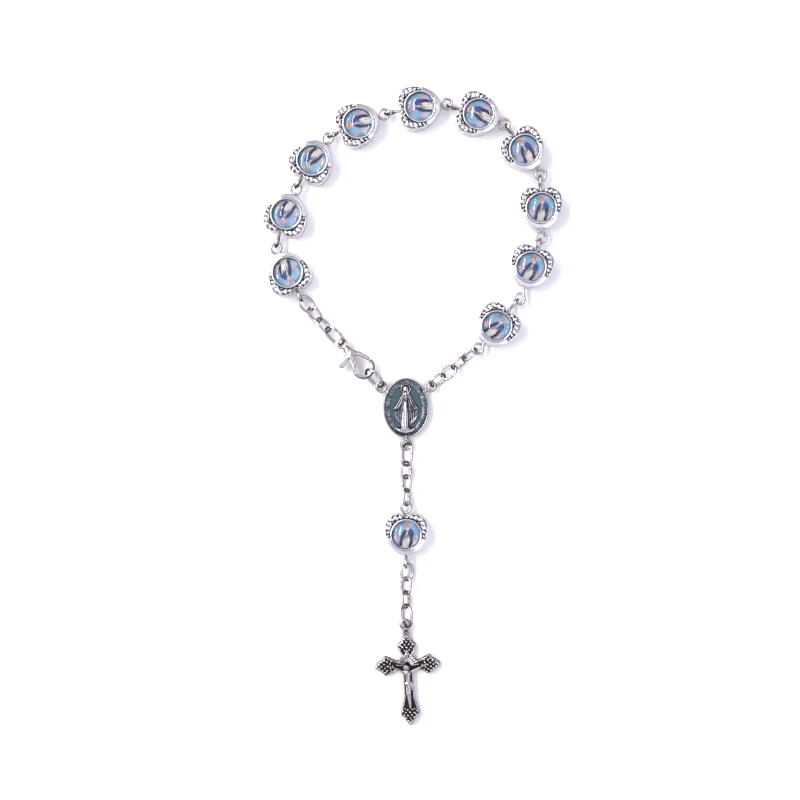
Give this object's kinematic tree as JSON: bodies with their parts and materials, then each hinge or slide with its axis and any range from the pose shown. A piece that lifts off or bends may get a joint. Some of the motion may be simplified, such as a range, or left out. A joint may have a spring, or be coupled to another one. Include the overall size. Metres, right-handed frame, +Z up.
{
  "type": "rosary bracelet",
  "caption": "Linked loop of silver heart beads with small pictures under clear domes, an oval medal, a lobster clasp and a drop with a crucifix.",
  "frame": {"origin": "centre of the oval medal's flat back, on the surface the bracelet lies on", "axes": "+X to the right, +Y away from the crucifix through the loop, +Z up off the surface"},
  "size_m": [0.0691, 0.1475, 0.0046],
  "materials": {
    "silver_casting": "polished, bright silver plate",
    "print": "printed picture under a clear dome",
    "clear_dome": "clear glossy dome",
    "pin_wire": "polished wire",
    "antique_silver": "antiqued relief, blue-grey in the recesses, bright edges",
    "dark_silver": "antiqued relief, near black in the recesses, bright edges",
    "clasp_metal": "polished",
    "ring_wire": "polished wire",
    "chain_wire": "polished wire"
  },
  "bodies": {
    "bracelet": {"heart_1": "silver_casting", "heart_2": "silver_casting", "heart_3": "silver_casting", "heart_4": "silver_casting", "heart_5": "silver_casting", "heart_6": "silver_casting", "heart_7": "silver_casting", "heart_8": "silver_casting", "heart_9": "silver_casting", "heart_10": "silver_casting", "heart_11": "silver_casting", "picture_1": "print", "picture_2": "print", "picture_3": "print", "picture_4": "print", "picture_5": "print", "picture_6": "print", "picture_7": "print", "picture_8": "print", "picture_9": "print", "picture_10": "print", "picture_11": "print", "dome_1": "clear_dome", "dome_2": "clear_dome", "dome_3": "clear_dome", "dome_4": "clear_dome", "dome_5": "clear_dome", "dome_6": "clear_dome", "dome_7": "clear_dome", "dome_8": "clear_dome", "dome_9": "clear_dome", "dome_10": "clear_dome", "dome_11": "clear_dome", "eye_pin_1": "pin_wire", "eye_pin_2": "pin_wire", "eye_pin_3": "pin_wire", "eye_pin_4": "pin_wire", "eye_pin_5": "pin_wire", "eye_pin_6": "pin_wire", "eye_pin_7": "pin_wire", "eye_pin_8": "pin_wire", "eye_pin_9": "pin_wire", "eye_pin_10": "pin_wire", "eye_pin_11": "pin_wire", "medal": "antique_silver", "crucifix": "dark_silver", "clasp_body": "clasp_metal", "ring_clasp": "ring_wire", "ring_medal": "ring_wire", "ring_drop": "ring_wire", "ring_cross": "ring_wire", "chain_left": "chain_wire", "chain_right": "chain_wire", "chain_upper": "chain_wire", "chain_lower": "chain_wire"},
    "lever": {"clasp_lever": "clasp_metal"}
  },
  "joints": [
    {"name": "lever_hinge", "type": "hinge", "parent": "bracelet", "child": "lever", "pos_m": [-0.01271, 0.01265, 0.00202], "axis": [0, 0, -1], "range_deg": [0, 22], "stiffness_Nm_per_rad": 0.0004, "springref_deg": -20.05}
  ]
}
